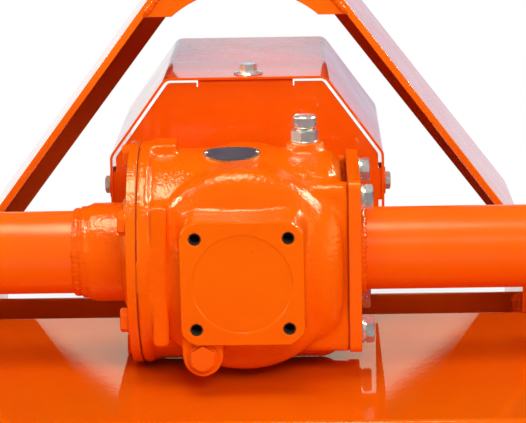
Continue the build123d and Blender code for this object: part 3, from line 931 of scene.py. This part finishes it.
class ROTAVATOR_OT_hole_linings(bpy.types.Operator):
    """Bare threads in the four holes of the rear pad, coloured near black as painted shade down the
    holes
    """
    bl_idname = "rotavator.hole_linings"
    bl_label = "Threaded holes"

    def execute(self, context):
        root, crest, outside = 5.6 * MM, 5.1 * MM, 6.3 * MM
        start, end, pitch = 0.8 * MM, 24.5 * MM, 1.75 * MM
        profile = [(outside, start), (root, start)]
        for k in range(11):
            profile += [(crest, 1.6 * MM + pitch * k), (root, 2.4 * MM + pitch * k)]
        profile += [(0, end - 3 * MM), (0, end), (outside, end), (outside, start)]
        bm = bmesh.new()
        for place in pad_holes():
            turned(bm, place, profile, 28)
        piece("pad_hole_threads", bm, "shaded_thread_steel")
        return {"FINISHED"}


class ROTAVATOR_OT_welds(bpy.types.Operator):
    """Lays the weld beads that join tubes, plates, deck and headstock"""
    bl_idname = "rotavator.welds"
    bl_label = "Welds"

    def execute(self, context):
        self.tubes()
        runs = bmesh.new()
        for (side, name), seed in zip(SIDES, (20.0, 51.0)):
            self.deck(runs, side, name, seed)
            self.headstock(runs, side, name, seed)
        weld_piece("frame_welds", runs)
        plugs = bmesh.new()
        for side, node, grow, seed in ((1, "end_disc", 0, 77), (-1, "outer_bearing", 3 * MM, 78)):
            middle = middle_of(node)
            bead(plugs, ring_path((side_x(node, side), middle.y, middle.z),
                                  radius_of(node) + grow), 0.7, 0.4, (side, 0, 0), True, seed)
        weld_piece("end_welds", plugs)
        return {"FINISHED"}

    @staticmethod
    def tubes():
        """Rings where the tubes enter the covers, the brackets and the side plates."""
        tube = radius_of("left_tube")
        around = away_from(CROSS)

        def ring(target, x, lift, wide, tall, seed, ripple=0.10):
            bead(target, ring_path((x, CROSS.y, 0), tube + lift * MM), wide, tall, around, True,
                 seed, ripple)

        left, right, others = bmesh.new(), bmesh.new(), bmesh.new()
        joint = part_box("left_cover")[0].x
        ring(left, joint + 1.5 * MM, 0.3, 1.1, 0.62, 1.0, 0.15)
        ring(left, joint + 10 * MM, 3.6, 1.1, 0.30, 2.0, 0.15)
        weld_piece("left_tube_weld", left)
        ring(right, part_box("right_plate")[1].x + 1 * MM, 0.6, 1.25, 0.9, 3.0, 0.16)
        weld_piece("right_tube_weld", right)
        for side, name in SIDES:
            bracket, plate = "tube_bracket_" + name, "side_plate_" + name
            out = side * PROUD_PLATE
            for x in (side_x(bracket, side, False) - out, side_x(bracket, side) + out,
                      side_x(plate, side, False) - out):
                ring(others, x, 0.5, 0.9, 0.8, 5 + x * 9)
        weld_piece("tube_welds", others)

    @staticmethod
    def deck(runs, side, name, seed):
        """Beads along the deck, at the side plate and on both sides of the tube bracket."""
        deck_low, deck_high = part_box("deck_sheet")
        z = deck_high.z + PROUD
        front = deck_high.y - DECK_FRONT
        inner = side_x("side_plate_" + name, side, False)
        bead(runs, line_path((inner, deck_low.y + DECK_REAR, z), (inner, front, z)), 1, 1,
             (-side, 0, 1), seed=seed)
        low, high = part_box("tube_bracket_" + name)
        for x, out in ((low.x, -1), (high.x, 1)):
            end = min(high.y, front)
            if out * side < 0:
                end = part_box("headstock_" + name)[0].y - 4 * MM
            bead(runs, line_path((x, low.y, z), (x, end, z)), 0.9, 0.9, (out, 0, 1),
                 seed=seed + x)

    @staticmethod
    def headstock(runs, side, name, seed):
        """Beads at the bracket, the pin, the cross bar, the arch and the lip."""
        outer = side_x("headstock_" + name, side)
        low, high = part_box("tube_bracket_" + name)
        bead(runs, line_path((outer, high.y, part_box("deck_sheet")[1].z + 8 * MM),
                             (outer, high.y, low.z + BRACKET_BEAD)), 0.9, 0.9, (side, 1, 0),
             seed=seed + 3)
        pin = middle_of("link_pin_" + name)
        bead(runs, ring_path((outer + side * PROUD_PLATE, pin.y, pin.z),
                             radius_of("link_pin_" + name)), 0.85, 0.8, away_from(pin), True,
             seed + 5)
        low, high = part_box("front_bar")
        end = side_x("front_bar", side)
        for y, facing, size in ((low.y, -1, 1.35), (high.y, 1, 0.9)):
            bead(runs, line_path((end, y, low.z + 2 * MM), (end, y, high.z - 1 * MM)), size, size,
                 (-side, facing, 0), seed=seed + y * 40, ripple=0.14)
        low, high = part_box("arch_plate")
        for y, facing in ((low.y, -1), (high.y, 1)):
            bead(runs, line_path((side * arch_end(low.z), y, low.z + 1 * MM),
                                 (side * arch_end(high.z), y, high.z - 1 * MM)), 0.95, 0.95,
                 (-side * 0.6, facing, -0.4), seed=seed + y * 50, ripple=0.14)
        low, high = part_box("headstock_lip_" + name)
        foot = low.z + LIP_FOOT
        for start, end in ((0.05, 0.20), (0.38, 0.53), (0.70, 0.86)):
            ends = (foot + (high.z - foot) * start, foot + (high.z - foot) * end)
            bead(runs, line_path(*((side * (arch_end(z) - 0.4 * MM), lip_rear(low, high, z), z)
                                   for z in ends)), 0.8, 0.8, (-side * 0.6, -1, -0.3),
                 seed=seed + start)


class ROTAVATOR_OT_stage(bpy.types.Operator):
    """Puts the machine on a pale floor under soft studio lamps and sets the camera"""
    bl_idname = "rotavator.stage"
    bl_label = "Studio"

    def execute(self, context):
        self.floor()
        self.world(context)
        white, warm, cream = (1.0, 1.0, 1.0), (1.0, 0.85, 0.50), (1.0, 0.88, 0.58)
        for name, place, aim, size, power, tint, mirrored in (
                ("Overhead lamp", (-0.3, -0.3, 2.5), (0, 0.1, 0), (1.6, 1.1), 32, white, False),
                ("Warm panel", (-0.3, -0.2, 2.2), (0, 0.1, 0), (1.4, 0.7), 46, warm, True),
                ("Left strip", (-1.5, 0.2, 1.2), (0, 0, 0.1), (0.16, 0.5), 20, cream, True),
                ("Right strip", (1.5, 0.2, 1.2), (0, 0, 0.1), (0.16, 0.5), 20, cream, True),
                ("Far strip", (1.3, 0.85, 1.15), (0, 0, 0.1), (0.2, 0.5), 24, cream, True),
                ("Top strip", (-0.2, -0.35, 2.3), (0, 0.1, 0), (1.5, 0.09), 6, cream, True),
                ("Rear lamp", (0.7, -2.5, 1.75), (0, 0, 0), (1.4, 0.9), 46, white, False),
                ("Tractor-side lamp", (-0.4, 2.6, 1.9), (0, 0.2, 0), (2.0, 1.2), 26, white, False)):
            data = bpy.data.lights.new(name, "AREA")
            data.shape = "RECTANGLE"
            data.size, data.size_y = size
            data.energy = power
            data.color = tint
            lamp = linked(name, data)
            lamp.visible_glossy = mirrored
            lamp.visible_diffuse = not mirrored
            lamp.location = place
            lamp.rotation_euler = (Vector(aim) - Vector(place)).to_track_quat("-Z", "Y").to_euler()
        self.camera(context)
        context.scene.view_settings.view_transform = "Standard"
        return {"FINISHED"}

    @staticmethod
    def seen(tree, rays, mirrored):
        """One for the camera's rays, for rays through glass and for the mirrored ones."""
        direct = maths(tree, "ADD", rays["Is Camera Ray"], mirrored)
        return maths(tree, "ADD", direct, rays["Is Transmission Ray"], clamp=True)

    @classmethod
    def floor(cls):
        """A matt floor that turns white with distance.  Gloss on the machine mirrors a white strip
        of it ahead, and a dark floor elsewhere."""
        bm = bmesh.new()
        bmesh.ops.create_circle(bm, cap_ends=True, segments=96, radius=14,
                                matrix=Matrix.Translation((0, 0, cad_bounds[0].z - 0.5 * MM)))
        floor = linked("Floor", meshed("Floor", bm))
        material = bpy.data.materials.new("Floor")
        tree = emptied(material)
        where = placed(tree)
        way = add(tree, "SeparateXYZ", {0: where}).outputs
        rays = add(tree, "LightPath").outputs
        glossy = rays["Is Glossy Ray"]
        distance = add(tree, "VectorMath", {0: where}, operation="LENGTH").outputs["Value"]
        far = eased(tree, distance, 0.62, 1.0, kind="SMOOTHSTEP")
        aside = maths(tree, "SUBTRACT", maths(tree, "ABSOLUTE", way["X"]), 0.35)
        inside = eased(tree, maths(tree, "DIVIDE", aside, way["Y"]), 0.25, 0.22)
        once = maths(tree, "LESS_THAN", rays["Ray Depth"], 1.5)
        strip = product(tree, glossy, eased(tree, way["Y"], -0.2, 0.8), inside, once)
        white = product(tree, cls.seen(tree, rays, strip), far)
        base = colours().floor
        grain = add(tree, "TexNoise", {"Vector": where, "Scale": 3.0}).outputs["Fac"]
        tone = mixed(tree, grain, (*base, 1), (base[0] * 0.96,) * 3 + (1,))
        tone = mixed(tree, maths(tree, "SUBTRACT", glossy, strip), tone, (0.07, 0.045, 0.015, 1))
        matt = add(tree, "BsdfDiffuse", {"Color": tone}).outputs[0]
        to_right = product(tree, glossy, eased(tree, way["X"], 0.1, 0.9))
        shine = mixed(tree, to_right, (1, 1, 1, 1), (0.74, 0.68, 0.82, 1))
        glow = add(tree, "Emission", {"Color": shine, "Strength": 1.0}).outputs[0]
        add(tree, "OutputMaterial", {"Surface": blended(tree, white, matt, glow)})
        floor.data.materials.append(material)

    @classmethod
    def world(cls, context):
        """White to the camera and soft light on the machine.  Its gloss mirrors a dim room with a
        pale band low ahead and a warm window on each side."""
        world = bpy.data.worlds.new("Studio")
        context.scene.world = world
        tree = emptied(world)
        rays = add(tree, "LightPath").outputs
        way = add(tree, "SeparateXYZ", {0: add(tree, "TexCoord").outputs["Generated"]}).outputs
        ahead = eased(tree, way["Y"], -0.35, 0.45, kind="SMOOTHSTEP")
        low = eased(tree, way["Z"], 0.32, 0.36, 1.0, 0.0, "SMOOTHSTEP")
        widest, closing, at_level, off_centre = 0.25, -1.18, 0.4235, 0.0252   # of the band
        steep = maths(tree, "DIVIDE", way["Z"], way["Y"])
        reach = maths(tree, "MULTIPLY_ADD", steep, closing, at_level)
        reach = maths(tree, "MINIMUM", reach, widest)
        aside = maths(tree, "ADD", maths(tree, "DIVIDE", way["X"], way["Y"]), off_centre)
        aside = maths(tree, "ABSOLUTE", aside)
        inside = eased(tree, maths(tree, "SUBTRACT", reach, aside), -0.004, 0.004)
        once = maths(tree, "LESS_THAN", rays["Ray Depth"], 2.5)   # the background counts one more
        band = product(tree, ahead, low, inside, once)
        room = mixed(tree, ahead, (0.15, 0.11, 0.06, 1), (0.045, 0.03, 0.01, 1))
        higher = eased(tree, way["Z"], 0.20, 0.27)
        haze = mixed(tree, higher, (0.64, 0.86, 0.98, 1), (0.9, 1.16, 0.88, 1))
        sky = mixed(tree, band, room, haze)
        window = product(tree, eased(tree, maths(tree, "ABSOLUTE", way["X"]), 0.55, 0.62),
                         eased(tree, way["Z"], 0.10, 0.16), eased(tree, way["Z"], 0.50, 0.42))
        sky = mixed(tree, window, sky, (2.7, 1.9, 0.6, 1))
        soft, mirrored, white = (
            add(tree, "Background", {"Color": tint, "Strength": strength}).outputs[0]
            for tint, strength in (((0.97, 0.98, 1.0, 1), 0.42), (sky, 1.0), ((1, 1, 1, 1), 1.0)))
        seen = blended(tree, cls.seen(tree, rays, rays["Is Glossy Ray"]), soft, mirrored)
        last = blended(tree, rays["Is Camera Ray"], seen, white)
        add(tree, "OutputWorld", {"Surface": last})

    @staticmethod
    def camera(context):
        """Behind the machine, a little to its right and above, looking slightly down."""
        yaw, pitch, roll = radians(1.18), radians(12.83), radians(-1.1)
        ahead = Vector((-sin(yaw) * cos(pitch), cos(yaw) * cos(pitch), -sin(pitch)))
        level = Vector((cos(yaw), sin(yaw), 0))
        over = level.cross(ahead)
        right = level * cos(roll) + over * sin(roll)
        up = over * cos(roll) - level * sin(roll)
        data = bpy.data.cameras.new("Camera")
        data.lens = 162.55
        data.sensor_width = 36
        data.clip_start, data.clip_end = 0.05, 60
        camera = linked("Camera", data)
        turn = Matrix((right, up, -ahead)).transposed().to_4x4()
        camera.matrix_world = Matrix.Translation((0.0708, -2.3361, 0.6081)) @ turn
        context.scene.camera = camera


PIECES = [ROTAVATOR_OT_sheet_and_plate, ROTAVATOR_OT_casting, ROTAVATOR_OT_left_cover,
          ROTAVATOR_OT_right_cover, ROTAVATOR_OT_plug_and_breather, ROTAVATOR_OT_oval_plate,
          ROTAVATOR_OT_guard_fittings, ROTAVATOR_OT_hole_linings, ROTAVATOR_OT_welds,
          ROTAVATOR_OT_stage]


class ROTAVATOR_PT_panel(bpy.types.Panel):
    """Lists the rotavator's pieces"""
    bl_idname = "ROTAVATOR_PT_panel"
    bl_label = "Rotavator"
    bl_space_type = "VIEW_3D"
    bl_region_type = "UI"
    bl_category = "Rotavator"

    def draw(self, context):
        for group in (context.scene.rotavator_sizes, context.scene.rotavator_colours):
            column = self.layout.column()
            for name in group.bl_rna.properties.keys():
                if name not in ("rna_type", "name"):
                    column.prop(group, name)
        for operator in PIECES:
            self.layout.operator(operator.bl_idname)


CLASSES = [RotavatorSizes, RotavatorColours, *PIECES, ROTAVATOR_PT_panel]


def register():
    for cls in CLASSES:
        bpy.utils.register_class(cls)
    bpy.types.Scene.rotavator_sizes = PointerProperty(type=RotavatorSizes)
    bpy.types.Scene.rotavator_colours = PointerProperty(type=RotavatorColours)


def unregister():
    del bpy.types.Scene.rotavator_colours
    del bpy.types.Scene.rotavator_sizes
    for cls in reversed(CLASSES):
        bpy.utils.unregister_class(cls)


def dress_cad_nodes():
    """Gives each CAD node that still shows its own finish."""
    looks = {"bearing_cap": "flat_cast_paint", "input_shaft": "steel", "cross_shaft": "steel",
             "left_tube": "tube_paint", "right_tube": "tube_paint", "outer_bearing": "steel",
             "link_pin_left": "zinc", "link_pin_right": "zinc"}
    for node, name in looks.items():
        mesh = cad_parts[node].data
        mesh.materials.clear()
        mesh.materials.append(finish(name))


def main():
    register()
    for operator in PIECES:
        group, name = operator.bl_idname.split(".")
        getattr(getattr(bpy.ops, group), name)()
    dress_cad_nodes()


if __name__ == "__main__":
    main()
